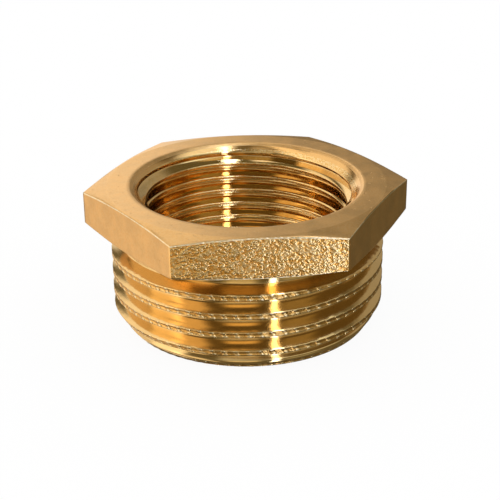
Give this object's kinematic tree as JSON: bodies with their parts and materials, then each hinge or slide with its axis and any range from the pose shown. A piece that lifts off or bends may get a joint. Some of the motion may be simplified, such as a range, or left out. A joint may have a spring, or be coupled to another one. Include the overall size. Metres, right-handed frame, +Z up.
{
  "type": "hex bushing",
  "caption": "Brass hex reducing bushing for pipe: a short male pipe thread under a chamfered hexagon head, with a countersunk female thread through it.",
  "frame": {"origin": "centre of the threaded end's flat face, on the axis", "axes": "+Z up the axis towards the hexagon head, -Y out of one of the head's flats"},
  "size_m": [0.0392, 0.034, 0.017],
  "materials": {
    "brass": "satin"
  },
  "bodies": {
    "root": {"hex_bushing": "brass"}
  },
  "joints": []
}
